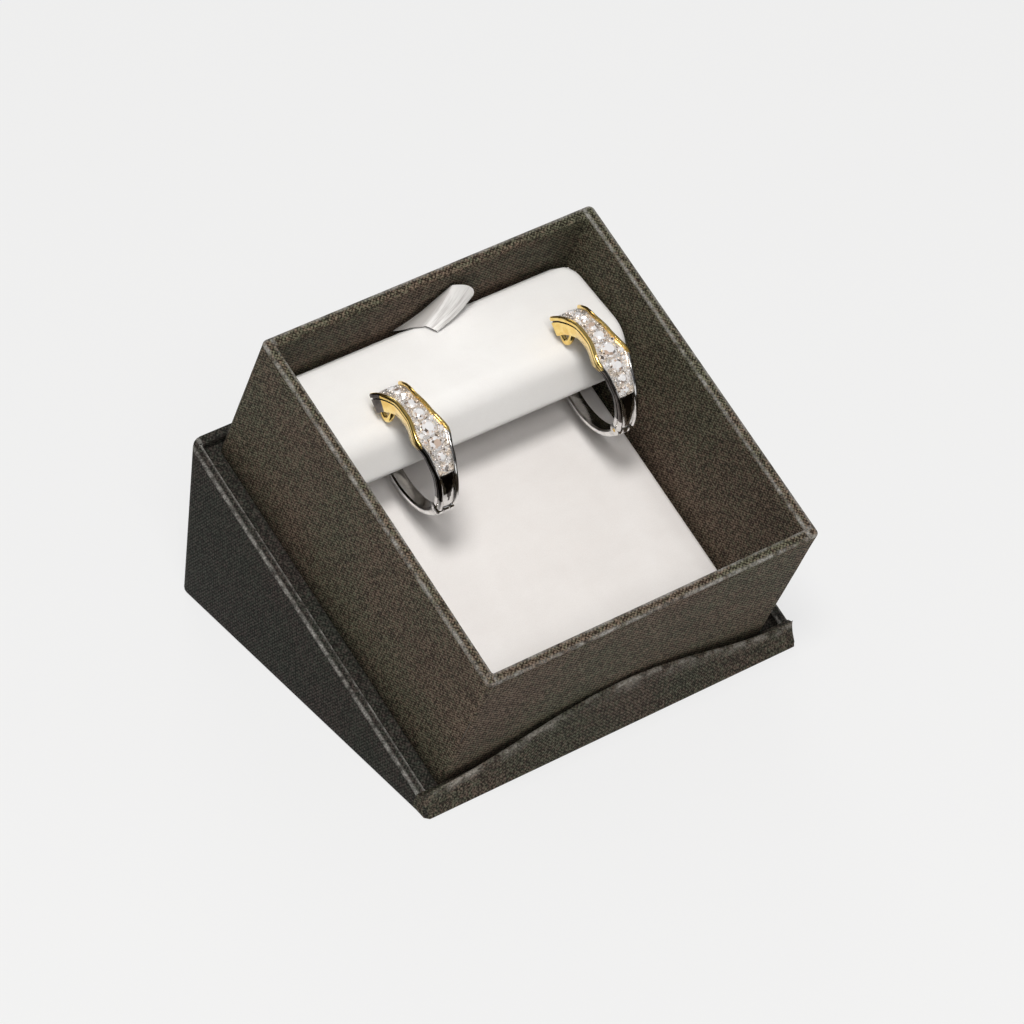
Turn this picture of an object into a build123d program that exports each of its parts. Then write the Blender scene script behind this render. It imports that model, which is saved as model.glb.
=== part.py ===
from build123d import *
import os
from math import asin, cos, degrees, hypot, pi, radians, sin, sqrt, tan

# Tilting presentation box for one pair of earrings, in millimetres.
# An open tray leans back in a wedge-shaped stand, and a white velvet insert
# inside the tray holds two hinged hoops. The front of the box faces -Y.

# Open tray, folded from board and wrapped in linen-grain paper
tray_width = 54.0
tray_depth = 57.0
tray_height = 28.0
tray_board = 1.1
paper = 0.25
wrap_corner_radius = 0.8

# Wedge stand that the tray leans in
tilt = 25.0
nose_height = 2.5
nose_flare = 0.95
back_lean = 8.7
stand_board = 1.2
side_gap = 2.6
front_gap = 0.25
back_gap = 0.25
seat_depth = 1.7
rest_gap = 0.1
support_board = 1.2

# Front lip: bowed towards the tray, with an arched top edge
lip_thickness = 0.7
lip_bow = 0.7
lip_end_rise = 0.9
lip_rise = 6.0
lip_corner_radius = 0.6
lip_stations = 16

# Velvet insert that lifts out of the tray
insert_gap = 0.2
insert_card = 0.8
pad_thickness = 3.5
pad_edge_radius = 0.7
pad_crown = 0.35
riser_thickness = 1.0

# Raised flap that the posts pass through, measured from the top of the pad
flap_back_height = 12.9
flap_knee_height = 15.15
flap_knee_reach = 13.6
flap_edge_height = 9.0
flap_edge_reach = 17.5
flap_knee_radius = 4.0
flap_pad_thickness = 1.5
flap_card_thickness = 0.7
flap_corner_radius = 2.6
flap_wall_gap = 0.45
wall_to_flap = 0.7
post_spacing = 29.5
pair_shift = 2.0
post_hole_diameter = 1.6

# Ribbon pull behind the flap
ribbon_thickness = 0.3
ribbon_left = -5.0
ribbon_crease = 0.6
ribbon_right = 7.4
ribbon_peak = 3.0
ribbon_peak_right = 5.6
ribbon_tail = 6.0
ribbon_rise = 7.6
ribbon_reach = 1.9
ribbon_lift = 0.35
ribbon_wall_gap = 0.3

# Hinged hoop earrings
hoop_diameter = 18.6
hoop_thickness = 1.6
hoop_back_width = 4.2
hoop_crown_width = 5.0
hoop_tip_width = 2.8
hoop_crown_place = 4.0
rail_width = 0.7
setting_step = 0.3
liner_thickness = 0.4
hoop_flap_gap = 0.2
post_diameter = 0.9
post_end_gap = 0.5
catch_gap = 1.6
lever_width = 2.2
lever_thickness = 1.1
hinge_angle = 188.0
knuckle_radius = 0.9
knuckle_gap = 0.1
knuckle_width = 0.9
pin_diameter = 0.6
pin_hole_gap = 0.1
stone_count = 9
stone_first_angle = 34.0
stone_last_angle = 166.0
stone_largest = 1.9
stone_smallest = 1.15
stone_facets = 8
crown_height = 0.4
pavilion_depth = 0.6
table_share = 0.62

# Places worked out from the sizes above
# The slanted frame has its origin in the plane of the stand's rim, under the
# middle of the tray, with Y up the slope and Z square to the rim
tray_wall = tray_board + 2 * paper
half_tray_x = tray_width / 2
half_tray_y = tray_depth / 2
half_room_x = half_tray_x - tray_wall
half_room_y = half_tray_y - tray_wall
tray_bottom = -seat_depth
tray_top = tray_bottom + tray_height
floor_top = tray_bottom + paper + tray_board

stand_wall = stand_board + paper
half_stand_x = half_tray_x + side_gap + stand_wall
wall_slant = tilt - back_lean
rim_front = half_tray_y + front_gap + lip_thickness + lip_bow
lip_inner = -(half_tray_y + front_gap)
rim_back = (half_tray_y + back_gap + seat_depth * tan(radians(wall_slant))
            + stand_wall / cos(radians(wall_slant)))

card_bottom = floor_top + rest_gap
card_top = card_bottom + insert_card
pad_top = card_top + pad_thickness
flap_back = half_room_y - wall_to_flap
flap_half_width = half_room_x - flap_wall_gap

hoop_outer = hoop_diameter / 2
hoop_inner = hoop_outer - hoop_thickness
hoop_middle = (hoop_outer + hoop_inner) / 2

MARGIN = 100.0


def to_upright(y, z):
    """Turn a point of the slanted frame to the upright one, before centring."""
    up = nose_height + rim_front * sin(radians(tilt))
    return (y * cos(radians(tilt)) - z * sin(radians(tilt)),
            y * sin(radians(tilt)) + z * cos(radians(tilt)) + up)


def upright(shape):
    """Turn a solid of the slanted frame to the upright one, before centring."""
    up = nose_height + rim_front * sin(radians(tilt))
    return Pos(0, 0, up) * Rot(tilt, 0, 0) * shape


def block(x_range, y_range, z_range):
    """Rectangular block between two values on each axis."""
    sizes = [high - low for low, high in (x_range, y_range, z_range)]
    middles = [(high + low) / 2 for low, high in (x_range, y_range, z_range)]
    return Pos(*middles) * Box(*sizes)


def side_face(points):
    """Closed outline in the plane of the box's side, from (y, z) points."""
    corners = [(0, y, z) for y, z in points]
    return make_face(Polyline(*corners, close=True))


def across(face, x_from, x_to):
    """Solid that carries a side outline from one X to another."""
    low = Pos(x_from, 0, 0) * face
    return extrude(low, amount=x_to - x_from, dir=(1, 0, 0))


def wedge_points(inset):
    """Side outline of the stand, drawn in from every edge by an inset."""
    front_top = to_upright(-rim_front, 0)
    back_top = to_upright(rim_back, 0)
    back_foot = (back_top[0] + back_top[1] * tan(radians(back_lean)), 0)
    front_foot = (front_top[0] - nose_flare, 0)
    outline = [front_foot, back_foot, back_top, front_top]
    return inset_outline(outline, inset)


def inset_outline(outline, inset):
    """Move each side of a convex anticlockwise outline inwards."""
    lines = []
    for (y0, z0), (y1, z1) in zip(outline, outline[1:] + outline[:1]):
        length = hypot(y1 - y0, z1 - z0)
        ny, nz = -(z1 - z0) / length, (y1 - y0) / length
        lines.append(((y0 + ny * inset, z0 + nz * inset), (y1 - y0, z1 - z0)))
    return [meet(lines[i - 1], lines[i]) for i in range(len(lines))]


def meet(first, second):
    """Point where two lines cross, each a point and a direction."""
    (p, q), (a, b) = first
    (r, s), (c, d) = second
    along = ((r - p) * d - (s - q) * c) / (a * d - b * c)
    return (p + a * along, q + b * along)


def behind_lip():
    """Everything behind the inner face of the front lip."""
    room = block((-MARGIN, MARGIN), (lip_inner, MARGIN), (-MARGIN, MARGIN))
    return upright(room)


def recess():
    """Room for the tray, down from the rim to the top of the seat."""
    width = (-half_tray_x - side_gap, half_tray_x + side_gap)
    depth = (lip_inner, half_tray_y + back_gap + seat_depth * tan(radians(wall_slant)))
    return upright(block(width, depth, (-paper - rest_gap, MARGIN)))


def stand_parts():
    """Boards and papers of the wedge stand."""
    rim = half_stand_x
    outer = side_face(wedge_points(0))
    under_paper = side_face(wedge_points(paper))
    hollow = side_face(wedge_points(stand_wall))
    behind = behind_lip()
    base = block((-MARGIN, MARGIN), (-MARGIN, MARGIN), (0, paper))
    floor = block((-MARGIN, MARGIN), (-MARGIN, MARGIN), (paper, stand_wall))

    base_paper = across(outer, -rim, rim) & base
    base_paper = fillet(nose_corners(base_paper), lip_corner_radius)
    bottom = across(under_paper, stand_wall - rim, rim - stand_wall) & floor & behind
    side = across(under_paper, -rim + paper, -rim + stand_wall) & behind
    shell = across(under_paper, stand_wall - rim, rim - stand_wall)
    back_room = block((-MARGIN, MARGIN), (0, MARGIN), (stand_wall, MARGIN))
    foot_line = [wedge_points(stand_wall)[1], wedge_points(stand_wall)[2]]
    back = (shell & back_room) - across(behind_line(foot_line), -rim, rim)

    seat_top = tray_bottom - rest_gap
    slab = block((stand_wall - rim, rim - stand_wall), (lip_inner, MARGIN),
                 (seat_top - stand_board, seat_top))
    seat = across(hollow, stand_wall - rim, rim - stand_wall) & upright(slab)
    under_seat = block((-MARGIN, MARGIN), (lip_inner, MARGIN),
                       (-MARGIN, seat_top - stand_board))
    support = across(hollow, stand_wall - rim, stand_wall - rim + support_board)
    support = support & upright(under_seat)

    skin = across(outer, -rim, rim)
    skin = fillet(upright_back_edges(skin), wrap_corner_radius)
    skin = skin - across(under_paper, paper - rim, rim - paper) - base
    skin = (skin & behind) - recess()

    return {
        "stand_base_paper": base_paper,
        "stand_bottom_board": bottom,
        "stand_left_board": side,
        "stand_right_board": mirror(side, about=Plane.YZ),
        "stand_back_board": back,
        "stand_seat_board": seat,
        "stand_left_support": support,
        "stand_right_support": mirror(support, about=Plane.YZ),
        "stand_wrap": skin,
        "stand_front_lip": front_lip(),
    }


def behind_line(ends):
    """Outline of everything in front of a line that stands at the back."""
    (y0, z0), (y1, z1) = ends
    slope = (y1 - y0) / (z1 - z0)
    low = (y0 - slope * MARGIN, z0 - MARGIN)
    high = (y0 + slope * MARGIN, z0 + MARGIN)
    return side_face([(-MARGIN, low[1]), low, high, (-MARGIN, high[1])])


def upright_back_edges(solid):
    """The two standing corner edges at the back of the stand."""
    top_y, top_z = to_upright(rim_back, 0)
    foot_y = top_y + top_z * tan(radians(back_lean))
    middle_y = (top_y + foot_y) / 2
    edges = solid.edges().filter_by(lambda edge: abs(edge.center().Y - middle_y) < 0.5)
    return edges.filter_by(lambda edge: abs(edge.center().X) > half_stand_x - 0.5)


def nose_corners(plate):
    """Short standing edges at the two front corners of the base paper."""
    edges = plate.edges().filter_by(lambda edge: abs(edge.tangent_at(0.5).Z) > 0.5)
    return edges.sort_by(Axis.Y)[:2]


def front_lip():
    """Nose of the stand, which rises smoothly into the arched tongue."""
    rim = half_stand_x
    flat = rim - lip_corner_radius
    places = [flat * (2 * i / lip_stations - 1) for i in range(lip_stations + 1)]
    corner = [flat + lip_corner_radius * share for share in (0.6, 1.0)]
    places = [-x for x in reversed(corner)] + places + corner
    return upright(loft([lip_section(x) for x in places], ruled=True))


def lip_section(x):
    """Side outline of the front lip at one place across the stand."""
    rim = half_stand_x
    swell = (1 + cos(pi * x / rim)) / 2
    over = max(0, abs(x) - (rim - lip_corner_radius))
    turn_in = lip_corner_radius - sqrt(max(0, lip_corner_radius ** 2 - over ** 2))
    height = lip_end_rise + lip_rise * swell
    front = -rim_front + lip_bow * swell + turn_in
    back = min(-rim_front + lip_bow * swell + lip_thickness, lip_inner)
    foot_y, foot_z = nose_foot(turn_in)
    base_z = (paper - to_upright(lip_inner, 0)[1]) / cos(radians(tilt))
    points = [(foot_y, foot_z), (front, height), (back, height), (lip_inner, 0),
              (lip_inner, base_z)]
    return Pos(x, 0, 0) * side_face(points)


def nose_foot(turn_in):
    """Foot of the nose on the base paper, in the slanted frame."""
    top_y, top_z = to_upright(-rim_front, 0)
    y = top_y - nose_flare * (top_z - paper) / top_z + turn_in
    z = paper - to_upright(0, 0)[1]
    return (y * cos(radians(tilt)) + z * sin(radians(tilt)),
            z * cos(radians(tilt)) - y * sin(radians(tilt)))


def tray_parts():
    """Boards of the tray and the paper that wraps them."""
    x_out, x_in = half_tray_x - paper, half_room_x + paper
    y_out, y_in = half_tray_y - paper, half_room_y + paper
    low, high = tray_bottom + paper, tray_top - paper
    floor = block((-x_out, x_out), (-y_out, y_out), (low, floor_top))
    left = block((-x_out, -x_in), (-y_out, y_out), (floor_top, high))
    front = block((-x_in, x_in), (-y_out, -y_in), (floor_top, high))

    outside = block((-half_tray_x, half_tray_x), (-half_tray_y, half_tray_y),
                    (tray_bottom, tray_top))
    outside = fillet(outside.edges().filter_by(Axis.Z), wrap_corner_radius)
    inside = block((-half_room_x, half_room_x), (-half_room_y, half_room_y),
                   (floor_top, tray_top + MARGIN))
    boards = block((-x_out, x_out), (-y_out, y_out), (low, high))
    liner = block((-x_in, x_in), (-y_in, y_in), (floor_top, high + MARGIN))
    wrap = outside - (boards - liner) - inside
    return {
        "tray_floor_board": floor,
        "tray_left_board": left,
        "tray_right_board": mirror(left, about=Plane.YZ),
        "tray_front_board": front,
        "tray_back_board": mirror(front, about=Plane.XZ),
        "tray_wrap": wrap,
    }


def flap_chain(depth):
    """Back, knee and front edge of the flap at a depth below its top."""
    back = (flap_back, pad_top + flap_back_height)
    knee = (flap_back - flap_knee_reach, pad_top + flap_knee_height)
    edge = (flap_back - flap_edge_reach, pad_top + flap_edge_height)
    lines = []
    for (y0, z0), (y1, z1) in ((back, knee), (knee, edge)):
        length = hypot(y1 - y0, z1 - z0)
        ny, nz = -(z1 - z0) / length, (y1 - y0) / length
        lines.append(((y0 + ny * depth, z0 + nz * depth), (y1 - y0, z1 - z0)))
    wall = ((flap_back, 0), (0, 1))
    (y1, z1), (run, fall) = lines[1]
    return [meet(lines[0], wall), meet(*lines), (y1 + run, z1 + fall)]


def flap_layer(top, bottom):
    """One layer of the flap between two depths below its top."""
    outer = flap_chain(top)
    inner = flap_chain(bottom)
    upper = FilletPolyline(*[(0, y, z) for y, z in outer],
                           radius=flap_knee_radius - top)
    lower = FilletPolyline(*[(0, y, z) for y, z in inner],
                           radius=flap_knee_radius - bottom)
    ends = [Line((0, *outer[i]), (0, *inner[i])) for i in (0, 2)]
    layer = across(make_face([*upper.edges(), *lower.edges(), *ends]),
                   -flap_half_width, flap_half_width)
    return layer & flap_plan()


def flap_plan():
    """Upright prism over the flap's outline, with its rounded corners."""
    front = flap_back - flap_edge_reach - flap_pad_thickness - flap_card_thickness
    middle = (flap_back + front) / 2
    outline = RectangleRounded(2 * flap_half_width, flap_back - front,
                               flap_corner_radius)
    return extrude(Pos(0, middle, 0) * outline, amount=MARGIN)


def post_places():
    """X of the left and right post."""
    return {"left": pair_shift - post_spacing / 2,
            "right": pair_shift + post_spacing / 2}


def flap_top_at(y):
    """Height of the flap's straight top at a place along the slope."""
    back = (flap_back, pad_top + flap_back_height)
    knee = (flap_back - flap_knee_reach, pad_top + flap_knee_height)
    share = (back[0] - y) / (back[0] - knee[0])
    return back[1] + share * (knee[1] - back[1])


def hoop_start_angle():
    """Angle at which the hoop's top half begins, just above the flap."""
    return degrees(asin((hoop_flap_gap + post_fall()) / hoop_inner))


def post_fall():
    """Height of the flap's top beside the post over the hoop's centre."""
    return flap_pad_thickness / 2


def hoop_centre():
    """Centre of both hoops along the slope and above the rim."""
    y = post_line() - hoop_middle
    return (y, flap_top_at(post_line() - hoop_thickness / 2) - post_fall())


def post_line():
    """Place of the post holes along the slope."""
    return flap_back - flap_knee_reach * 0.63


def insert_parts():
    """Velvet pad, riser, flap and ribbon of the insert."""
    width = half_room_x - insert_gap
    depth = half_room_y - insert_gap
    card = block((-width, width), (-depth, depth), (card_bottom, card_top))
    riser_front = flap_back - riser_thickness
    pad = block((-width, width), (-depth, riser_front), (card_top, pad_top))
    pad = fillet(pad.edges().group_by(Axis.Z)[-1], pad_edge_radius) & crown(width, depth)

    thickness = flap_pad_thickness + flap_card_thickness
    under = flap_chain(thickness)
    slope = (under[1][1] - under[0][1]) / (under[1][0] - under[0][0])
    front_top = under[0][1] - slope * riser_thickness
    riser = across(side_face([(riser_front, card_top), (flap_back, card_top),
                              under[0], (riser_front, front_top)]), -width, width)

    holes = []
    for place in post_places().values():
        hole = Cylinder(post_hole_diameter / 2, MARGIN)
        holes.append(Pos(place, post_line(), 0) * hole)
    flap_pad = flap_layer(0, flap_pad_thickness) - holes
    flap_card = flap_layer(flap_pad_thickness, thickness) - holes
    return {
        "insert_base_card": card,
        "insert_pad": pad,
        "insert_riser": riser,
        "insert_flap_card": flap_card,
        "insert_flap_pad": flap_pad,
        "ribbon_pull": ribbon(),
    }


def crown(width, depth):
    """Room under a very shallow dome that just touches the top of the pad."""
    dome_x = (width ** 2 + pad_crown ** 2) / (2 * pad_crown)
    dome_y = (depth ** 2 + pad_crown ** 2) / (2 * pad_crown)
    along_y = Pos(0, 0, pad_top - dome_x) * Rot(90, 0, 0) * Cylinder(dome_x, 2 * MARGIN)
    along_x = Pos(0, 0, pad_top - dome_y) * Rot(0, 90, 0) * Cylinder(dome_y, 2 * MARGIN)
    return along_y & along_x


def ribbon():
    """Ribbon tail behind the flap and the folded pull that stands over it."""
    rear = half_room_y - ribbon_wall_gap
    low = flap_top_at(flap_back) - ribbon_tail
    edge = flap_top_at(flap_back) + ribbon_lift
    peak = flap_top_at(flap_back) + ribbon_rise
    tail = block((ribbon_left, ribbon_right), (rear - ribbon_thickness, rear),
                 (low, edge + ribbon_thickness))
    tip_y = flap_back - ribbon_reach
    tip = (ribbon_crease, tip_y, flap_top_at(tip_y) + ribbon_lift)
    left = (ribbon_left, rear, edge)
    right = (ribbon_right, rear, edge)
    left_peak = (ribbon_peak, rear, peak)
    right_peak = (ribbon_peak_right, rear, peak - 0.8)
    folded = [
        facet([left, tip, left_peak]),
        facet([tip, right_peak, left_peak]),
        facet([tip, right, right_peak]),
        facet([left, left_peak, right_peak, right]),
        facet([left, right, tip]),
    ]
    return tail + Solid(Shell(folded))


def facet(points):
    """Flat face between points in space."""
    return make_face(Polyline(*points, close=True))


def ring(inner, outer, half_width, start, end):
    """Part of a flat band round the X axis, angles from +Y towards +Z."""
    middle = (inner + outer) / 2
    section = Pos(0, middle, 0) * Rectangle(2 * half_width, outer - inner)
    section = Rot(start, 0, 0) * section
    return revolve(section, axis=Axis.X, revolution_arc=end - start)


def hoop_plan(inset):
    """Upright prism over the top half, wide at the crown and narrow below."""
    stations = [
        (-hoop_outer - 1, hoop_tip_width),
        (hoop_crown_place - hoop_middle, hoop_crown_width),
        (hoop_outer + 1, hoop_back_width),
    ]
    right = [(width / 2 - inset, y) for y, width in stations]
    left = [(-x, y) for x, y in reversed(right)]
    outline = make_face(Polyline(*right, *left, close=True))
    return extrude(Pos(0, 0, -MARGIN / 2) * outline, amount=MARGIN)


def rod(radius, x_from, x_to, y, z):
    """Round bar along X."""
    bar = Rot(0, 90, 0) * Cylinder(radius, x_to - x_from)
    return Pos((x_from + x_to) / 2, y, z) * bar


def stone(size):
    """Brilliant-cut stone, table up, girdle in the XY plane."""
    girdle = RegularPolygon(size / 2, stone_facets)
    table = Pos(0, 0, crown_height) * RegularPolygon(size / 2 * table_share, stone_facets)
    culet = Pos(0, 0, -pavilion_depth) * RegularPolygon(size / 10, stone_facets)
    return loft([girdle, table], ruled=True) + loft([culet, girdle], ruled=True)


def stones():
    """Row of stones along the crown, largest where the band is widest."""
    row = []
    seat = hoop_outer - setting_step
    for i in range(stone_count):
        share = i / (stone_count - 1)
        angle = stone_first_angle + share * (stone_last_angle - stone_first_angle)
        size = stone_smallest + (stone_largest - stone_smallest) * sin(radians(180 * share))
        placed = Pos(0, 0, seat) * stone(size)
        row.append(Rot(angle - 90, 0, 0) * placed)
    return row


def earring():
    """One hinged hoop about its own centre, front half and lever."""
    hinge_y = hoop_middle * cos(radians(hinge_angle))
    hinge_z = hoop_middle * sin(radians(hinge_angle))
    knuckle_turn = degrees(knuckle_radius / hoop_middle) * 0.85
    start = hoop_start_angle()
    half_middle = knuckle_width / 2
    outer_from = half_middle + knuckle_gap
    outer_to = hoop_tip_width / 2 - knuckle_gap
    swing = knuckle_radius + knuckle_gap
    hole = rod(pin_diameter / 2 + pin_hole_gap, -MARGIN, MARGIN, hinge_y, hinge_z)

    band = ring(hoop_inner, hoop_outer, hoop_crown_width, start,
                hinge_angle - knuckle_turn)
    channel = ring(hoop_inner + liner_thickness, hoop_outer + 1,
                   hoop_crown_width, start - 10, hinge_angle)
    setting_band = ring(hoop_inner + liner_thickness, hoop_outer - setting_step,
                        hoop_crown_width, start, hinge_angle - knuckle_turn)
    swing_room = rod(swing, -half_middle - knuckle_gap, half_middle + knuckle_gap,
                     hinge_y, hinge_z)
    rails = (band & hoop_plan(0)) - (channel & hoop_plan(rail_width))
    for turn in (1, -1):
        ends = sorted((turn * outer_from, turn * outer_to))
        rails = rails + rod(knuckle_radius, *ends, hinge_y, hinge_z)
    rails = rails - swing_room - hole
    setting = (setting_band & hoop_plan(rail_width))
    setting = setting - rod(swing, -MARGIN, MARGIN, hinge_y, hinge_z)
    gems = stones()
    setting = setting - gems

    lever_middle = hoop_middle
    lever_end = 360 - degrees(asin((catch_gap + post_fall()) / lever_middle))
    lever = ring(lever_middle - lever_thickness / 2, lever_middle + lever_thickness / 2,
                 lever_width / 2, hinge_angle + knuckle_turn, lever_end)
    for turn in (1, -1):
        ends = sorted((turn * half_middle, turn * MARGIN))
        lever = lever - rod(swing, *ends, hinge_y, hinge_z)
    lever = lever + rod(knuckle_radius, -half_middle, half_middle, hinge_y, hinge_z)
    lever = lever - hole

    lever_top = -(catch_gap + post_fall())
    post_low = lever_top + post_end_gap
    post_high = hoop_inner * sin(radians(start)) + hoop_thickness
    post = Cylinder(post_diameter / 2, post_high - post_low)
    post = Pos(0, hoop_middle, (post_high + post_low) / 2) * post
    post = post - ring(0.1, hoop_outer + 1, hoop_crown_width, start, start + 60)
    pin = rod(pin_diameter / 2, -outer_to, outer_to, hinge_y, hinge_z)
    return {"rails": rails, "setting": setting, "stones": Compound(gems),
            "post": post, "pin": pin, "lever": lever}


def earring_parts():
    """Both hoops, standing astride the flap's front edge."""
    pieces = earring()
    y, z = hoop_centre()
    placed = {}
    for side, x in post_places().items():
        for piece, shape in pieces.items():
            placed[f"earring_{side}_{piece}"] = Pos(x, y, z) * shape
    return placed


def main():
    """Build every piece, centre the box over the origin and write the files."""
    leaning = {**tray_parts(), **insert_parts(), **earring_parts()}
    pieces = stand_parts()
    pieces.update({name: upright(shape) for name, shape in leaning.items()})

    reach = [pieces[name].bounding_box() for name in ("stand_base_paper", "tray_wrap")]
    front = min(box.min.Y for box in reach)
    back = max(box.max.Y for box in reach)
    centred = Pos(0, -(front + back) / 2, 0)

    os.makedirs("parts", exist_ok=True)
    for name, shape in pieces.items():
        export_step(centred * shape, f"parts/{name}.step")

    def report(label, x, y, z):
        upright_y, upright_z = to_upright(y, z)
        print(label, round(x, 3), round(upright_y - (front + back) / 2, 3), round(upright_z, 3))

    hoop_y, hoop_z = hoop_centre()
    report("tray rim centre", 0, 0, tray_top)
    report("tray bottom centre", 0, 0, tray_bottom)
    report("pad top centre", 0, 0, pad_top)
    for side, x in post_places().items():
        report(f"post {side}", x, post_line(), hoop_z)
        report(f"hinge {side}", x, hoop_y + hoop_middle * cos(radians(hinge_angle)),
               hoop_z + hoop_middle * sin(radians(hinge_angle)))
        report(f"hoop centre {side}", x, hoop_y, hoop_z)


main()
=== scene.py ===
import random
from math import atan2, cos, degrees, hypot, pi, radians, sin, sqrt, tan

import bpy
import bmesh
from mathutils import Matrix, Vector, noise

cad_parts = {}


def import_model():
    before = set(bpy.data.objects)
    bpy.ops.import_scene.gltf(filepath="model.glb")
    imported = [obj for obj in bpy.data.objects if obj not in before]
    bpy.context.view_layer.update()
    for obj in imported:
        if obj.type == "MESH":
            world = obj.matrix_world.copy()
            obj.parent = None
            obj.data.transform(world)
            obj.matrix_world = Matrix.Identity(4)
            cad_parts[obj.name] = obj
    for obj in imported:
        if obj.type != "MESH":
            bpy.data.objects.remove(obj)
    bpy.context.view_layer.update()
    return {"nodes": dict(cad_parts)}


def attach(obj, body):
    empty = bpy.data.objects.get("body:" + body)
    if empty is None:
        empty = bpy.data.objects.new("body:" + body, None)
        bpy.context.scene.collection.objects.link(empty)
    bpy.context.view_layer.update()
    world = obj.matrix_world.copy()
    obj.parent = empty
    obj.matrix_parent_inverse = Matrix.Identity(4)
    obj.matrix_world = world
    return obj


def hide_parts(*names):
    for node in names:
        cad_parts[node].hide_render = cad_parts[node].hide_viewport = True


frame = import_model()

# The slanted frame of the tray: Y up the slope, Z square to the stand's rim,
# in millimetres, with its origin in the rim's plane under the tray's middle
TILT = radians(25)
MM = 0.001
SHIFT_Y = 2.374
SHIFT_Z = 15.242
SLANT = (Matrix.Diagonal((MM, MM, MM, 1))
         @ Matrix.Translation((0, SHIFT_Y, SHIFT_Z)) @ Matrix.Rotation(TILT, 4, "X"))
UPRIGHT = Matrix.Diagonal((MM, MM, MM, 1)) @ Matrix.Translation((0, SHIFT_Y, 0))

# Sizes repeated from the model, in millimetres
TRAY_X = 27.0
TRAY_Y = 28.5
TRAY_LOW = -1.7
TRAY_TOP = 26.3
WALL = 1.6
FLOOR_TOP = -0.35
ROOM_X = TRAY_X - WALL
ROOM_Y = TRAY_Y - WALL
RIM_X = 31.05
RIM_FRONT = 30.15
STAND_WALL = 1.45
BACK_LEAN = radians(8.7)
NOSE_FLARE = 0.95
LIP_INNER = -28.75
LIP_THICK = 0.7
PAD_TOP = 4.05
FLAP_BACK = 26.2
FLAP_HALF = 24.95
FLAP_Z = PAD_TOP + 12.9
KNEE_REACH = 13.6
KNEE_RISE = 2.25
POSTS = {"left": -12.75, "right": 16.75}
HOOP_Y = 9.132
HOOP_Z = 17.751
HOOP_OUT = 9.3
HOOP_IN = 7.7
HOOP_MID = 8.5
HINGE_ANGLE = 188.0

# How far the hoops lean sideways with height, as the photograph shows
ROLL = 0.085


def to_upright(y, z):
    """Upright Y and Z of a slanted point, before centring."""
    return (y * cos(TILT) - z * sin(TILT), y * sin(TILT) + z * cos(TILT) + SHIFT_Z)


def linked(name, data):
    """New object in the scene for a mesh, a curve, a lamp or the camera."""
    obj = bpy.data.objects.new(name, data)
    bpy.context.collection.objects.link(obj)
    return obj


def fix_normals(mesh, merge=True):
    """Join doubled points and point all faces outwards."""
    work = bmesh.new()
    work.from_mesh(mesh)
    if merge:
        bmesh.ops.remove_doubles(work, verts=work.verts, dist=1e-7)
    bmesh.ops.recalc_face_normals(work, faces=work.faces)
    work.to_mesh(mesh)
    work.free()


def mesh_object(name, verts, faces, matrix=SLANT, smooth=True):
    """New object from points in millimetres, placed in its mesh."""
    mesh = bpy.data.meshes.new(name)
    mesh.from_pydata([tuple(v) for v in verts], [], faces)
    mesh.transform(matrix)
    mesh.validate()
    fix_normals(mesh)
    if smooth:
        for face in mesh.polygons:
            face.use_smooth = True
    return linked(name, mesh)


def grid_faces(columns, rows, start=0):
    """Faces of a grid of points that lie row by row."""
    faces = []
    for r in range(rows):
        for c in range(columns):
            a = start + r * (columns + 1) + c
            faces.append((a, a + 1, a + columns + 2, a + columns + 1))
    return faces


def grid_border(columns, rows):
    """Points round the border of such a grid, in order."""
    step = columns + 1
    return (list(range(step))
            + [r * step + columns for r in range(1, rows + 1)]
            + [rows * step + c for c in range(columns - 1, -1, -1)]
            + [r * step for r in range(rows - 1, 0, -1)])


def tube_faces(rings, size, start=0, capped=True):
    """Faces that join closed rings of points, and both ends if capped."""
    faces = []
    for i in range(rings - 1):
        a = start + i * size
        for j in range(size):
            k = (j + 1) % size
            faces.append((a + j, a + k, a + size + k, a + size + j))
    if capped:
        faces.append(tuple(range(size)))
        faces.append(tuple(reversed(range((rings - 1) * size, rings * size))))
    return faces


def mark_mesh(mesh, name, values, domain="POINT"):
    """Give a mesh a named value on each point or face."""
    mesh.attributes.new(name, "FLOAT", domain).data.foreach_set("value", values)


def select_only(obj):
    """Make one object the only selected and the active one."""
    bpy.ops.object.select_all(action="DESELECT")
    obj.select_set(True)
    bpy.context.view_layer.objects.active = obj


def apply_all(obj):
    """Apply every modifier of an object in order."""
    select_only(obj)
    for modifier in list(obj.modifiers):
        bpy.ops.object.modifier_apply(modifier=modifier.name)


def shade(obj, angle=38):
    """Smooth shading with sharp edges kept."""
    select_only(obj)
    bpy.ops.object.shade_smooth_by_angle(angle=radians(angle))


def paint(obj, materials):
    """Give an object its materials."""
    obj.data.materials.clear()
    for entry in materials:
        obj.data.materials.append(entry)


def finish_piece(obj, body, materials, nodes=()):
    """Paint a piece, hang it on the body that carries it and hide the model's nodes it stands for.
    """
    paint(obj, materials)
    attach(obj, body)
    if nodes:
        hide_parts(*nodes)


# Materials

ONE = (1, 1, 1)
TO_MM = (1000, 1000, 1000)
THREAD_STEP = 0.56


def group(name, inputs, outputs):
    """New shader node group with its sockets."""
    tree = bpy.data.node_groups.new(name, "ShaderNodeTree")
    for label, kind in inputs:
        tree.interface.new_socket(name=label, in_out="INPUT", socket_type=kind)
    for label, kind in outputs:
        tree.interface.new_socket(name=label, in_out="OUTPUT", socket_type=kind)
    return tree, tree.nodes.new("NodeGroupInput"), tree.nodes.new("NodeGroupOutput")


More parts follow.
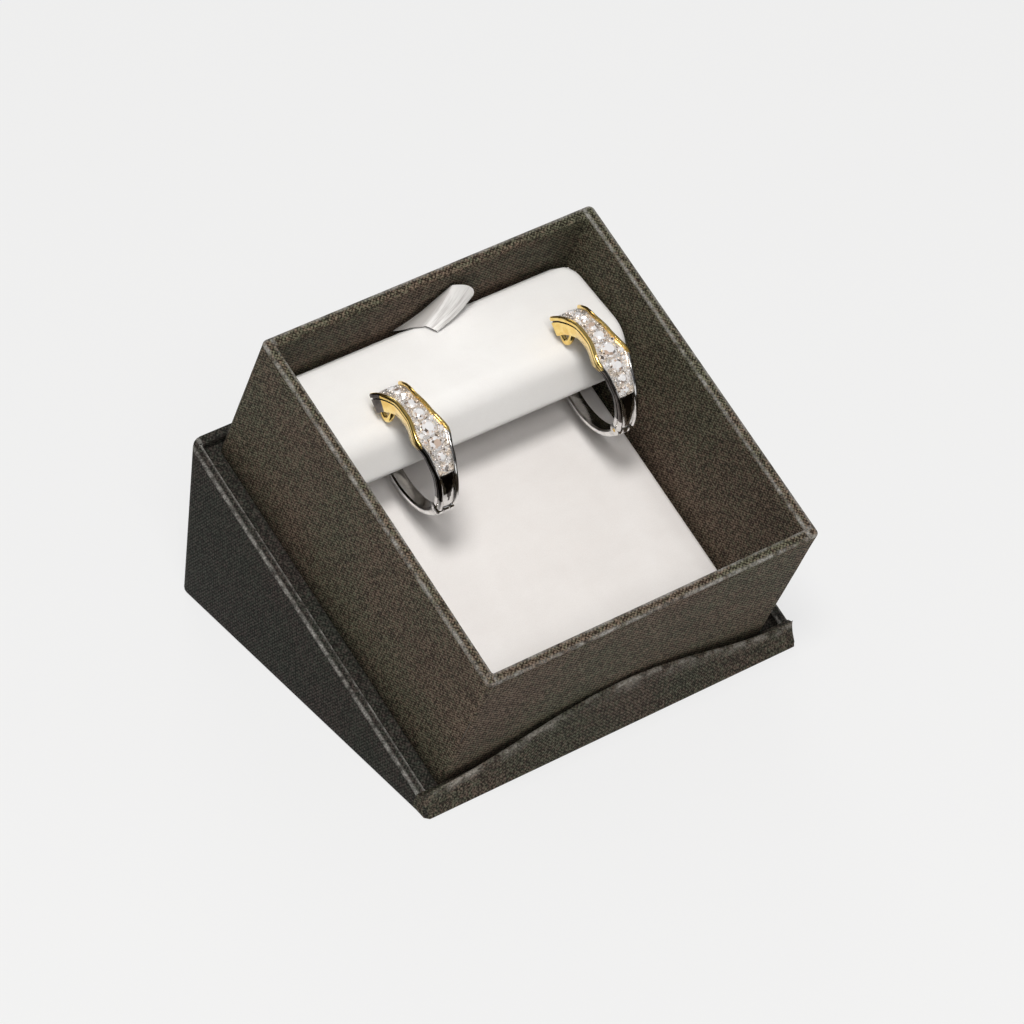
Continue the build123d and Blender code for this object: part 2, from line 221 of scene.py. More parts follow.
class Nodes:
    """Short calls that add nodes to one tree."""

    def __init__(self, tree):
        self.tree = tree

    def put(self, socket, value):
        """Link a socket, or set it where the value is a constant."""
        if isinstance(value, bpy.types.NodeSocket):
            self.tree.links.new(value, socket)
        elif value is not None:
            socket.default_value = value

    def fill(self, node, values):
        """Link or set several inputs of a node, and give the node back."""
        for label, value in values.items():
            self.put(node.inputs[label], value)
        return node

    def surface(self, values):
        """Link or set inputs of the material's own shader."""
        self.fill(self.tree.nodes["Principled BSDF"], values)

    def place(self):
        """Object coordinates in millimetres."""
        coords = self.tree.nodes.new("ShaderNodeTexCoord")
        return self.scaled(coords.outputs["Object"], TO_MM)

    def mark(self, name):
        """Value that mark_mesh put on the mesh."""
        node = self.tree.nodes.new("ShaderNodeAttribute")
        node.attribute_name = name
        return node.outputs["Fac"]

    def math(self, kind, a, b=None, c=None):
        node = self.tree.nodes.new("ShaderNodeMath")
        node.operation = kind
        for socket, value in zip(node.inputs, (a, b, c)):
            self.put(socket, value)
        return node.outputs[0]

    def times(self, a, b):
        return self.math("MULTIPLY", a, b)

    def add(self, a, b):
        return self.math("ADD", a, b)

    def noise(self, vector, scale, detail=3.0, rough=0.55, distortion=0.0):
        node = self.tree.nodes.new("ShaderNodeTexNoise")
        return self.fill(node, {"Vector": vector, "Scale": scale, "Detail": detail,
                                "Roughness": rough, "Distortion": distortion}).outputs["Fac"]

    def ramp(self, value, low, high, out_low=0.0, out_high=1.0):
        node = self.tree.nodes.new("ShaderNodeMapRange")
        node.interpolation_type = "SMOOTHSTEP"
        return self.fill(node, {"Value": value, "From Min": low, "From Max": high,
                                "To Min": out_low, "To Max": out_high}).outputs["Result"]

    def mix(self, amount, a, b, blend="MIX"):
        node = self.tree.nodes.new("ShaderNodeMix")
        node.data_type = "RGBA"
        node.blend_type = blend
        return self.fill(node, {0: amount, 6: a, 7: b}).outputs[2]

    def bump(self, height, strength, distance):
        node = self.tree.nodes.new("ShaderNodeBump")
        return self.fill(node, {"Height": height, "Strength": strength,
                                "Distance": distance}).outputs["Normal"]

    def scaled(self, vector, scale, turn=(0, 0, 0)):
        node = self.tree.nodes.new("ShaderNodeMapping")
        return self.fill(node, {"Vector": vector, "Scale": scale,
                                "Rotation": turn}).outputs["Vector"]

    def split(self, vector):
        node = self.tree.nodes.new("ShaderNodeSeparateXYZ")
        return self.fill(node, {0: vector}).outputs


def new_material(name):
    """Material and the helper that adds nodes to it."""
    material = bpy.data.materials.new(name)
    material.use_nodes = True
    return material, Nodes(material.node_tree)


def linen_group():
    """Linen-grain relief on any flat face, from a place in mm and a normal."""
    tree, source, sink = group("linen_grain", [
        ("Place", "NodeSocketVector"), ("Face", "NodeSocketVector")], [
        ("Height", "NodeSocketFloat"), ("Tone", "NodeSocketFloat")])
    n = Nodes(tree)
    place = source.outputs["Place"]
    wander = n.noise(place, 0.9, 2.0)
    waves = [n.math("SINE", n.math("MULTIPLY_ADD", wander, 1.3,
                                   n.times(axis, 2 * pi / THREAD_STEP)))
             for axis in n.split(place)]
    facing = [n.math("POWER", n.math("ABSOLUTE", part), 4.0)
              for part in n.split(source.outputs["Face"])]
    weave = None
    for face, (a, b) in zip(facing, ((1, 2), (0, 2), (0, 1))):
        ridge = n.times(n.add(waves[a], waves[b]), 0.22)
        cloth = n.times(n.add(n.times(waves[a], waves[b]), ridge), face)
        weave = cloth if weave is None else n.add(weave, cloth)
    fibre = n.noise(place, 4.2, 3.0, 0.75)
    slub = n.noise(n.scaled(place, (0.35, 1.6, 1.6)), 1.0, 2.0)
    speck = n.ramp(n.noise(place, 2.1, 2.0, 0.8), 0.35, 0.68, -0.12, 0.22)
    n.put(sink.inputs["Height"], n.math("MULTIPLY_ADD", weave, 0.32, n.times(fibre, 0.6)))
    n.put(sink.inputs["Tone"],
          n.add(n.math("MULTIPLY_ADD", weave, 0.26, fibre),
                n.math("MULTIPLY_ADD", slub, 0.3, n.add(speck, -0.2))))
    return tree


LINEN = linen_group()


def paper_material(name, slanted, dark, light, rims):
    """Dark linen-grain paper, painted pale along the edges named in rims: worn paper and painted
    highlight on the rounded edges.
    """
    material, n = new_material(name)
    tree = material.node_tree
    coords = tree.nodes.new("ShaderNodeTexCoord")
    moved = tree.nodes.new("ShaderNodeVectorMath")
    moved.operation = "SUBTRACT"
    n.fill(moved, {0: coords.outputs["Object"], 1: (0, SHIFT_Y * MM, SHIFT_Z * MM)})
    slope = (-TILT, 0, 0)
    turn = slope if slanted else (0, 0, 0)
    linen = tree.nodes.new("ShaderNodeGroup")
    linen.node_tree = LINEN
    n.fill(linen, {"Place": n.scaled(n.scaled(moved.outputs[0], ONE, turn), TO_MM),
                   "Face": n.scaled(coords.outputs["Normal"], ONE, turn)})

    slant_mm = n.scaled(n.scaled(moved.outputs[0], ONE, slope), TO_MM)
    x, y, z = n.split(slant_mm)
    parts = (n.math("ABSOLUTE", x), y, z)
    # Pale along the rims: partly worn paper, partly painted highlight
    rubbed_and_lit_edge = None
    for rim in rims:
        gaps = [n.math("SUBTRACT", parts[index], value) for index, value in rim]
        reach = n.math("SQRT", n.add(*[n.times(gap, gap) for gap in gaps]))
        near = n.ramp(reach, 0.08, 0.5, 1.0, 0.0)
        rubbed_and_lit_edge = near if rubbed_and_lit_edge is None else n.math("MAXIMUM", rubbed_and_lit_edge, near)
    wear_and_highlight = 0.0
    if rubbed_and_lit_edge:
        patch = n.ramp(n.noise(slant_mm, 0.55, 4.0, 0.7), 0.36, 0.66, 0.12, 1.0)
        fleck = n.ramp(n.noise(slant_mm, 4.0, 2.0, 0.6), 0.40, 0.62)
        wear_and_highlight = n.times(n.times(rubbed_and_lit_edge, patch), n.math("MULTIPLY_ADD", fleck, 0.6, 0.4))

    cloud = n.ramp(n.math("MULTIPLY_ADD", n.noise(slant_mm, 1.7, 2.0, 0.7), 0.6,
                          n.times(n.noise(slant_mm, 0.06, 3.0), 0.4)), 0.40, 0.60)
    colour = n.mix(n.ramp(linen.outputs["Tone"], 0.24, 0.92), (*dark, 1), (*light, 1))
    tinted = n.mix(1.0, colour, n.mix(cloud, GREENISH, REDDISH), "MULTIPLY")
    height = linen.outputs["Height"]
    n.surface({"Base Color": n.mix(wear_and_highlight, tinted, (*EDGE_WORN_AND_LIT, 1)),
               "Roughness": n.ramp(height, 0.0, 0.7, 0.80, 0.62),
               "Normal": n.bump(height, 0.55, 0.00006),
               "Specular IOR Level": 0.10})
    return material


# Pale colour of the rims: worn paper and painted highlight
EDGE_WORN_AND_LIT = (0.32, 0.31, 0.29)
GREENISH = (0.86, 1.02, 0.92, 1)
REDDISH = (1.12, 0.98, 0.98, 1)
TRAY_EDGE = TRAY_TOP - 0.15
TRAY_RIMS = [((0, TRAY_X - 0.15), (2, TRAY_EDGE)), ((0, ROOM_X + 0.1), (2, TRAY_TOP)),
             ((1, TRAY_Y - 0.15), (2, TRAY_EDGE)), ((1, -TRAY_Y + 0.15), (2, TRAY_EDGE)),
             ((1, -ROOM_Y - 0.1), (2, TRAY_TOP))]
STAND_RIMS = [((0, RIM_X - 0.1), (2, -0.1)), ((0, RIM_X - STAND_WALL), (2, -0.05))]
TRAY_PAPER = paper_material("tray_linen_paper", True, (0.020, 0.015, 0.011),
                            (0.190, 0.158, 0.116), TRAY_RIMS)
# The stand's paper is a darker copy of the tray's paper: painted shade on the stand's walls
STAND_PAPER_PAINTED_SHADE = paper_material("stand_linen_paper_painted_shade", False, (0.011, 0.010, 0.009),
                             (0.066, 0.060, 0.053), STAND_RIMS)


def lip_paper():
    """Paper of the lip, painted pale along its arched top edge: worn paper and painted highlight.
    """
    material = paper_material("lip_linen_paper", True, (0.018, 0.015, 0.012),
                              (0.135, 0.115, 0.090), [])
    n = Nodes(material.node_tree)
    place = n.place()
    # Painted highlight and worn paper along the lip's top edge
    patch = n.ramp(n.noise(place, 0.35, 4.0, 0.7), 0.40, 0.62, 0.05, 1.0)
    fleck = n.ramp(n.noise(place, 4.0, 2.0), 0.38, 0.62, 0.35, 1.0)
    wear_and_highlight = n.times(n.times(n.mark("top_edge"), patch), fleck)
    shader = material.node_tree.nodes["Principled BSDF"]
    before = shader.inputs["Base Color"].links[0].from_socket
    n.surface({"Base Color": n.mix(wear_and_highlight, before, (0.30, 0.28, 0.25, 1))})
    return material


LIP_PAPER = lip_paper()


def board_material():
    """Grey-brown pressed board."""
    material, n = new_material("pressed_board")
    flecks = n.noise(n.place(), 2.2, 5.0, 0.7)
    n.surface({"Base Color": n.mix(n.ramp(flecks, 0.3, 0.7), (0.06, 0.052, 0.042, 1),
                                   (0.12, 0.105, 0.085, 1)),
               "Normal": n.bump(flecks, 0.3, 0.00003),
               "Roughness": 0.85})
    return material


def velvet_material(name, low, high):
    """Short-pile white velvet with brushed patches and fine fibres."""
    material, n = new_material(name)
    place = n.place()
    patch = n.noise(place, 0.11, 3.0, 0.6, 0.4)
    brushed = n.noise(n.scaled(place, (0.5, 1.6, 1.6)), 0.35, 3.0)
    fibre = n.noise(place, 9.0, 2.0, 0.7)
    tone = n.add(n.times(patch, 0.4),
                 n.math("MULTIPLY_ADD", brushed, 0.1, n.times(fibre, 0.5)))
    n.surface({"Base Color": n.mix(n.ramp(tone, 0.25, 0.75), (*low, 1), (*high, 1)),
               "Normal": n.bump(fibre, 0.4, 0.00005),
               "Roughness": 0.92,
               "Specular IOR Level": 0.08,
               "Sheen Weight": 0.2,
               "Sheen Roughness": 0.55,
               "Sheen Tint": (1.0, 0.98, 0.95, 1)})
    return material


def card_material():
    """White card with a faint fibre."""
    material, n = new_material("white_card")
    fibre = n.noise(n.scaled(n.place(), (0.6, 2.0, 2.0)), 1.4, 4.0, 0.6)
    n.surface({"Base Color": n.mix(n.ramp(fibre, 0.3, 0.7), (0.70, 0.68, 0.64, 1),
                                   (0.80, 0.78, 0.75, 1)),
               "Normal": n.bump(fibre, 0.2, 0.00003),
               "Roughness": 0.8})
    return material


def satin_material():
    """Thin satin: a grey one-layer facet with painted shade darkening it towards its far edge, then
    a bright streaked two-layer strip, partly painted sheen.
    """
    material, n = new_material("satin_ribbon")
    across = n.mark("across")
    threads = n.math("SINE", n.times(across, 190.0))
    flow = n.fill(material.node_tree.nodes.new("ShaderNodeCombineXYZ"),
                  {0: n.times(across, 16.0), 1: n.times(n.mark("along"), 1.6)})
    streak = n.noise(flow.outputs[0], 1.0, 3.0)
    # Grey where one layer lies over the dark wall, with painted shade darker towards the far edge;
    # the bright streaks are partly painted sheen
    single_layer_shade = n.mix(n.ramp(across, 0.0, 0.45), (0.16, 0.15, 0.14, 1), (0.50, 0.48, 0.465, 1))
    double_layer_sheen = n.mix(n.ramp(streak, 0.32, 0.62), (0.62, 0.60, 0.59, 1), (0.93, 0.92, 0.91, 1))
    relief = n.math("MULTIPLY_ADD", threads, 0.15, streak)
    n.surface({"Base Color": n.mix(n.ramp(across, 0.40, 0.54), single_layer_shade, double_layer_sheen),
               "Normal": n.bump(relief, 0.35, 0.00005),
               "Roughness": 0.34,
               "Specular IOR Level": 0.7,
               "Sheen Weight": 0.35})
    return material


def metal_material(name, low, high, roughness):
    """Polished metal with fine handling marks."""
    material, n = new_material(name)
    place = n.place()
    cloud = n.noise(place, 0.8, 3.0, 0.6)
    marks = n.noise(n.scaled(place, (5.0, 0.6, 0.6)), 2.5, 3.0, 0.7)
    n.surface({"Base Color": n.mix(n.ramp(cloud, 0.3, 0.7), (*low, 1), (*high, 1)),
               "Roughness": n.ramp(marks, 0.3, 0.75, roughness * 0.7, roughness * 1.5),
               "Normal": n.bump(n.add(marks, cloud), 0.12, 0.00004),
               "Metallic": 1.0})
    return material


def pave_material():
    """Bright setting metal with dark flecks between its grains."""
    material, n = new_material("pave_setting")
    place = n.place()
    grains = n.noise(place, 2.6, 2.0, 0.6)
    warm = n.mix(n.ramp(n.noise(place, 1.1, 2.0), 0.4, 0.6), (0.93, 0.90, 0.88, 1),
                 (0.90, 0.78, 0.66, 1))
    n.surface({"Base Color": n.mix(n.ramp(grains, 0.56, 0.64), warm, (0.16, 0.11, 0.07, 1)),
               "Roughness": n.ramp(grains, 0.3, 0.6, 0.14, 0.34),
               "Normal": n.bump(grains, 0.6, 0.00008),
               "Metallic": 0.7})
    return material


def stone_material():
    """Clear faceted stone with painted reflections: some facets painted amber like the gold nearby,
    some dark.
    """
    material, n = new_material("clear_stone")
    facet = n.mark("facet")
    clear = n.mix(n.noise(n.place(), 3.0, 2.0), (0.86, 0.83, 0.84, 1), (1.0, 1.0, 1.0, 1))
    # Painted reflections: random facets amber like the gold, others dark
    amber = n.mix(n.ramp(facet, 0.55, 0.72), clear, (0.62, 0.46, 0.36, 1))
    n.surface({"Base Color": n.mix(n.ramp(facet, 0.80, 0.90), amber, (0.10, 0.075, 0.06, 1)),
               "Roughness": 0.04,
               "IOR": 2.2,
               "Transmission Weight": 0.12,
               "Coat Weight": 0.6})
    return material


def hole_material():
    """Shaded fibres inside a post hole."""
    material, n = new_material("post_hole_shade_fibres")
    fibre = n.noise(n.place(), 5.0, 3.0)
    n.surface({"Base Color": n.mix(n.ramp(fibre, 0.3, 0.7), (0.10, 0.075, 0.05, 1),
                                   (0.30, 0.26, 0.21, 1)),
               "Roughness": 0.95})
    return material


BOARD = board_material()
# The pad's velvet is a darker copy of the flap's velvet: painted shade of the walls round the pad
PAD_VELVET_PAINTED_SHADE = velvet_material("pad_velvet_painted_shade", (0.78, 0.745, 0.725), (0.87, 0.845, 0.83))
FLAP_VELVET = velvet_material("flap_velvet", (0.84, 0.825, 0.81), (0.91, 0.905, 0.895))
CARD = card_material()
SATIN = satin_material()
GOLD = metal_material("yellow_gold", (0.86, 0.58, 0.16), (0.98, 0.76, 0.30), 0.13)
WHITE_GOLD = metal_material("white_gold", (0.66, 0.65, 0.64), (0.88, 0.87, 0.86), 0.09)
PAVE = pave_material()
STONE_PAINTED_REFLECTIONS = stone_material()
# Near-black metal: painted shade and painted dark reflections on the hoops
PAINTED_SHADE_METAL = metal_material("shadowed_metal", (0.035, 0.03, 0.028), (0.12, 0.105, 0.10), 0.10)
# Dark fibres painted as the shade inside the post holes
POST_HOLE_SHADE = hole_material()


# Tray and stand

def sink(obj, normal, wall, move):
    """Inset the face that looks along a normal and push it into the block."""
    select_only(obj)
    bpy.ops.object.mode_set(mode="EDIT")
    bpy.ops.mesh.select_all(action="DESELECT")
    work = bmesh.from_edit_mesh(obj.data)
    for face in work.faces:
        face.select_set(face.normal.dot(normal) > 0.99)
    bmesh.update_edit_mesh(obj.data)
    bpy.ops.mesh.inset(thickness=wall, depth=0)
    bpy.ops.mesh.extrude_region_move(TRANSFORM_OT_translate={"value": tuple(move)})
    bpy.ops.object.mode_set(mode="OBJECT")


def round_edges(work, edges, offset, segments):
    """Round some edges of a mesh in work."""
    bmesh.ops.bevel(work, geom=edges, offset=offset, segments=segments, profile=0.5,
                    affect="EDGES")


def round_rims(work, offset):
    """Round every edge that is still sharp."""
    sharp = [e for e in work.edges if e.calc_face_angle(0) > radians(40)]
    round_edges(work, sharp, offset, 3)


def tray_piece():
    """Open tray modelled from a block: inset, sunk, rounded and a little wavy."""
    bpy.ops.mesh.primitive_cube_add(size=1, location=(0, 0, 0))
    tray = bpy.context.object
    tray.name = tray.data.name = "tray_paper_wrap"
    height = TRAY_TOP - TRAY_LOW
    tray.data.transform(Matrix.Diagonal((2 * TRAY_X, 2 * TRAY_Y, height, 1)))
    tray.data.transform(Matrix.Translation((0, 0, (TRAY_TOP + TRAY_LOW) / 2)))
    sink(tray, Vector((0, 0, 1)), WALL, (0, 0, FLOOR_TOP + 0.02 - TRAY_TOP))
    work = bmesh.new()
    work.from_mesh(tray.data)
    corners = [e for e in work.edges if abs((e.verts[0].co - e.verts[1].co).z) > 20
               and abs(e.verts[0].co.x) > TRAY_X - 0.5]
    round_edges(work, corners, 0.8, 5)
    round_rims(work, 0.3)
    bmesh.ops.subdivide_edges(work, edges=[e for e in work.edges if e.calc_length() > 8],
                              cuts=14, use_grid_fill=True)
    bmesh.ops.triangulate(work, faces=[f for f in work.faces if len(f.verts) > 4])
    for vert in work.verts:
        at = vert.co
        outwards = Vector((at.x if abs(at.x) > ROOM_X - 0.1 else 0,
                           at.y if abs(at.y) > ROOM_Y - 0.1 else 0, 0))
        if outwards.length > 1 and at.z < TRAY_TOP - 1:
            vert.co -= outwards.normalized() * abs(noise.noise(at * 0.11) * 0.10)
    work.to_mesh(tray.data)
    work.free()
    tray.data.transform(SLANT)
    fix_normals(tray.data)
    shade(tray)
    finish_piece(tray, "tray", [TRAY_PAPER], ["tray_wrap"])


tray_piece()


def wedge_outline():
    """Side outline of the stand in upright Y and Z, before centring."""
    wall_slant = TILT - BACK_LEAN
    rim_back = -LIP_INNER - TRAY_LOW * tan(wall_slant) + STAND_WALL / cos(wall_slant)
    front_top = to_upright(-RIM_FRONT, 0)
    back_top = to_upright(rim_back, 0)
    back_foot = (back_top[0] + back_top[1] * tan(BACK_LEAN), 0.03)
    front_foot = (front_top[0] - NOSE_FLARE, 0.03)
    return front_foot, back_foot, back_top, front_top


def stand_piece():
    """Wedge modelled from its side outline, with the tray's recess sunk in."""
    outline = wedge_outline()
    verts = [(x, y, z) for x in (-RIM_X, RIM_X) for y, z in outline]
    faces = [(3, 2, 1, 0), (4, 5, 6, 7), (0, 1, 5, 4), (1, 2, 6, 5), (2, 3, 7, 6), (3, 0, 4, 7)]
    stand = mesh_object("stand_paper_wrap", verts, faces, Matrix.Identity(4), smooth=False)
    mesh = stand.data
    slope = Vector((0, -sin(TILT), cos(TILT)))
    sink(stand, slope, STAND_WALL, slope * (TRAY_LOW - 0.04))
    work = bmesh.new()
    work.from_mesh(mesh)
    sides = [e for e in work.edges if all(abs(v.co.x) > RIM_X - 0.1 for v in e.verts)]
    back = [e for e in sides if all(v.co.y > outline[2][0] - 2.4 for v in e.verts)
            and abs(e.verts[0].co.z - e.verts[1].co.z) > 10]
    round_edges(work, back, 2.0, 5)
    front = [e for e in work.edges if all(v.co.y < outline[3][0] + 0.3 for v in e.verts)
             and all(abs(v.co.x) > RIM_X - 0.1 for v in e.verts)]
    round_edges(work, front, 0.7, 4)
    round_rims(work, 0.28)
    work.to_mesh(mesh)
    work.free()
    mesh.transform(UPRIGHT)
    fix_normals(mesh)
    shade(stand)
    finish_piece(stand, "stand", [STAND_PAPER_PAINTED_SHADE],
                 ["stand_wrap", "stand_base_paper", "stand_bottom_board", "stand_left_board",
                  "stand_right_board", "stand_back_board", "stand_seat_board",
                  "stand_left_support", "stand_right_support"])


stand_piece()


def lip_section(x):
    """Section of the lip at x in upright Y and Z, from its foot up and back down."""
    swell = (1 + cos(pi * x / RIM_X)) / 2
    height = 0.9 + 6.0 * swell
    over = max(0.0, abs(x) - (RIM_X - LIP_THICK))
    turn = LIP_THICK - sqrt(max(0.0, 0.49 - over * over))
    front = -RIM_FRONT + LIP_THICK * swell + turn
    back = min(front + LIP_THICK - turn, LIP_INNER)
    wobble = noise.noise(Vector((x * 0.35, 0, 3.1))) * 0.05
    foot = (-RIM_FRONT * cos(TILT) - NOSE_FLARE + turn, 0.04)
    crest = [to_upright(front, height - 0.3), to_upright(front + 0.06, height - 0.1),
             to_upright((front + back) / 2, height + wobble * 0.6),
             to_upright(back - 0.06, height - 0.1), to_upright(back, height - 0.3)]
    rise = [(foot[0] + (crest[0][0] - foot[0]) * share + 0.10 * sin(pi * share),
             foot[1] + (crest[0][1] - foot[1]) * share) for share in (0.25, 0.5, 0.75)]
    inner = [to_upright(LIP_INNER, 0.0), to_upright(LIP_INNER, -3.0)]
    return [foot] + rise + crest + inner


def lip_piece():
    """Arched front lip swept across the stand, with a soft top edge."""
    count = 120
    verts = []
    for i in range(count + 1):
        x = RIM_X * (2 * i / count - 1)
        verts += [(x, y, z) for y, z in lip_section(x)]
    tops = (0, 0, 0, 0, 0.55, 1, 1, 0.6, 0, 0, 0)
    mesh = bpy.data.meshes.new("front_lip")
    mesh.from_pydata(verts, [], tube_faces(count + 1, len(tops)))
    mark_mesh(mesh, "top_edge", tops * (count + 1))
    mesh.transform(UPRIGHT)
    fix_normals(mesh, merge=False)
    lip = linked("front_lip", mesh)
    shade(lip, 50)
    finish_piece(lip, "stand", [LIP_PAPER], ["stand_front_lip"])


lip_piece()


# Insert

def plumped(pad, voxel, cap, held):
    """Plump a pad, in millimetres, by a short cloth run with its underside held."""
    small = 0.02
    pad.data.transform(Matrix.Scale(small, 4))
    select_only(pad)
    pad.data.remesh_voxel_size = voxel * small
    bpy.ops.object.voxel_remesh()
    before = [vert.co.copy() for vert in pad.data.vertices]
    pinned = pad.vertex_groups.new(name="held")
    pinned.add([i for i, at in enumerate(before) if held(at / small)], 1.0, "REPLACE")
    cloth = pad.modifiers.new("air", "CLOTH")
    cloth.settings.quality = 4
    cloth.settings.use_pressure = True
    cloth.settings.uniform_pressure_force = 4.0
    cloth.settings.effector_weights.gravity = 0
    cloth.settings.vertex_group_mass = pinned.name
    cloth.point_cache.frame_start = 1
    cloth.point_cache.frame_end = 20
    for step in range(1, 21):
        bpy.context.scene.frame_set(step)
    select_only(pad)
    bpy.ops.object.modifier_apply(modifier=cloth.name)
    bpy.context.scene.frame_set(1)
    pad.vertex_groups.clear()
    for vert, start in zip(pad.data.vertices, before):
        moved = vert.co - start
        if moved.length > cap * small:
            vert.co = start + moved * (cap * small / moved.length)
    finer = pad.modifiers.new("finer", "SUBSURF")
    finer.levels = finer.render_levels = 1
    apply_all(pad)
    pad.data.transform(Matrix.Scale(1 / small, 4))


PAD_X = 25.0
PAD_FRONT = -26.5
PAD_BACK = 25.0


def pad_height(x, y):
    """Height of the pad before it is plumped, drawn in round its border."""
    radius = 0.9
    gap = min(PAD_X - abs(x), y - PAD_FRONT, PAD_BACK - y)
    fall = 0.0
    if gap < radius:
        share = 1 - max(0.0, gap) / radius
        fall = 1 - sqrt(max(0.0, 1 - share * share))
    dimple = noise.noise(Vector((x * 0.09, y * 0.09, 7.0))) * 0.06
    return PAD_TOP - 0.45 + dimple - 0.75 * fall


def pad_piece():
    """Lower velvet pad, plumped over its card."""
    cuts, low = 80, 0.6

    def spread(t):
        return sin(t * pi / 2) * 0.35 + t * 0.65

    verts = []
    for j in range(cuts + 1):
        for i in range(cuts + 1):
            x = PAD_X * spread(2 * i / cuts - 1)
            y = ((PAD_FRONT + PAD_BACK) / 2
                 + (PAD_BACK - PAD_FRONT) / 2 * spread(2 * j / cuts - 1))
            verts.append((x, y, pad_height(x, y)))
    faces = grid_faces(cuts, cuts)
    ring = grid_border(cuts, cuts)
    base, count = len(verts), len(ring)
    verts += [(*verts[index][:2], low) for index in ring]
    for k in range(count):
        nxt = (k + 1) % count
        faces.append((ring[k], ring[nxt], base + nxt, base + k))
    faces.append(tuple(range(base, base + count)))
    pad = mesh_object("velvet_pad", verts, faces, Matrix.Identity(4))
    plumped(pad, 0.7, 0.4, lambda at: at.z < 1.2)
    pad.data.transform(SLANT)
    shade(pad, 60)
    finish_piece(pad, "insert", [PAD_VELVET_PAINTED_SHADE], ["insert_pad"])


pad_piece()


def flap_profile():
    """Top line of the flap from back to front: pairs of a place in Y and Z and its outside."""
    back = Vector((FLAP_BACK, FLAP_Z))
    knee = Vector((FLAP_BACK - KNEE_REACH, FLAP_Z + KNEE_RISE))
    edge = Vector((FLAP_BACK - 17.5, PAD_TOP + 9.0))
    first, second = (knee - back).normalized(), (edge - knee).normalized()
    radius = 4.0
    cut = radius * tan(first.angle(second) / 2)
    start, stop = knee - first * cut, knee + second * cut
    normal = Vector((first.y, -first.x))
    if normal.y > 0:
        normal = -normal
    centre = start + normal * radius
    points = [(back.lerp(start, i / 16), -normal) for i in range(16)]
    a0 = atan2(*(reversed((start - centre)[:])))
    a1 = atan2(*(reversed((stop - centre)[:])))
    for i in range(13):
        a = a0 + (a1 - a0) * i / 12
        out = Vector((cos(a), sin(a)))
        points.append((centre + out * radius, out))
    return points + [(stop.lerp(edge, i / 8), out) for i in range(1, 9)]


def flap_piece():
    """Velvet flap with a folded front, soft edges and turned corners."""
    line = flap_profile()
    run = [0.0]
    for (a, _), (b, _) in zip(line, line[1:]):
        run.append(run[-1] + (b - a).length)
    length = run[-1]
    thick, corner, soft, across = 1.5, 3.0, 1.1, 72
    verts = []

    def half_width(s):
        for gap in (s, length - s):
            if gap < corner:
                return FLAP_HALF - corner + sqrt(max(0.0, corner ** 2 - (corner - gap) ** 2))
        return FLAP_HALF

    def depth_at(x, y, s, wide):
        gap = min(wide - abs(x), s + 0.25, length - s)
        share = 1 - min(1.0, max(0.0, gap) / soft)
        drop = (1 - sqrt(max(0.0, 1 - share * share))) * soft
        puff = noise.noise(Vector((x * 0.12, s * 0.12, 2.0))) * 0.07
        dent = 0.0
        for post in POSTS.values():
            reach = hypot(x - post, y - (HOOP_Y + HOOP_MID))
            dent += 0.35 * max(0.0, 1 - reach / 1.7) ** 2
        return drop - puff * (1 - share) + dent

    for layer in (0, 1):
        for s, (at, out) in zip(run, line):
            wide = max(half_width(s), FLAP_HALF - corner)
            for i in range(across + 1):
                u = 2 * i / across - 1
                x = wide * (0.75 * u + 0.25 * sin(u * pi / 2))
                depth = depth_at(x, at.x, s, wide) if layer == 0 else thick
                place = at - out * max(0.0, depth)
                verts.append((x, place.x, place.y))
    rows = len(line) - 1
    under = len(verts) // 2
    faces = grid_faces(across, rows) + grid_faces(across, rows, under)
    ring = grid_border(across, rows)
    for a, b in zip(ring, ring[1:] + ring[:1]):
        faces.append((a, b, b + under, a + under))
    flap = mesh_object("velvet_flap", verts, faces)
    shade(flap, 70)
    finish_piece(flap, "insert", [FLAP_VELVET], ["insert_flap_pad"])


flap_piece()


def post_hole_shade_pieces():
    """Dark discs in the velvet round each post: painted shade of the post holes."""
    count = 28
    y = HOOP_Y + HOOP_MID
    slope = KNEE_RISE / KNEE_REACH
    z = FLAP_Z + (FLAP_BACK - y) * slope - 0.30
    for side, x in POSTS.items():
        verts = []
        for ring, (radius, lift) in enumerate(((1.05, 0.06), (0.85, 0.02), (0.62, -0.12))):
            for i in range(count):
                a = 2 * pi * i / count
                jitter = 1 + 0.06 * noise.noise(Vector((cos(a) * 2, sin(a) * 2, ring + x)))
                dy = sin(a) * radius * jitter
                verts.append((x + cos(a) * radius * jitter, y + dy, z - dy * slope + lift))
        faces = tube_faces(3, count, capped=False) + [tuple(range(2 * count, 3 * count))]
        hole = mesh_object(f"{side}_post_hole", verts, faces)
        finish_piece(hole, "insert", [POST_HOLE_SHADE])


post_hole_shade_pieces()


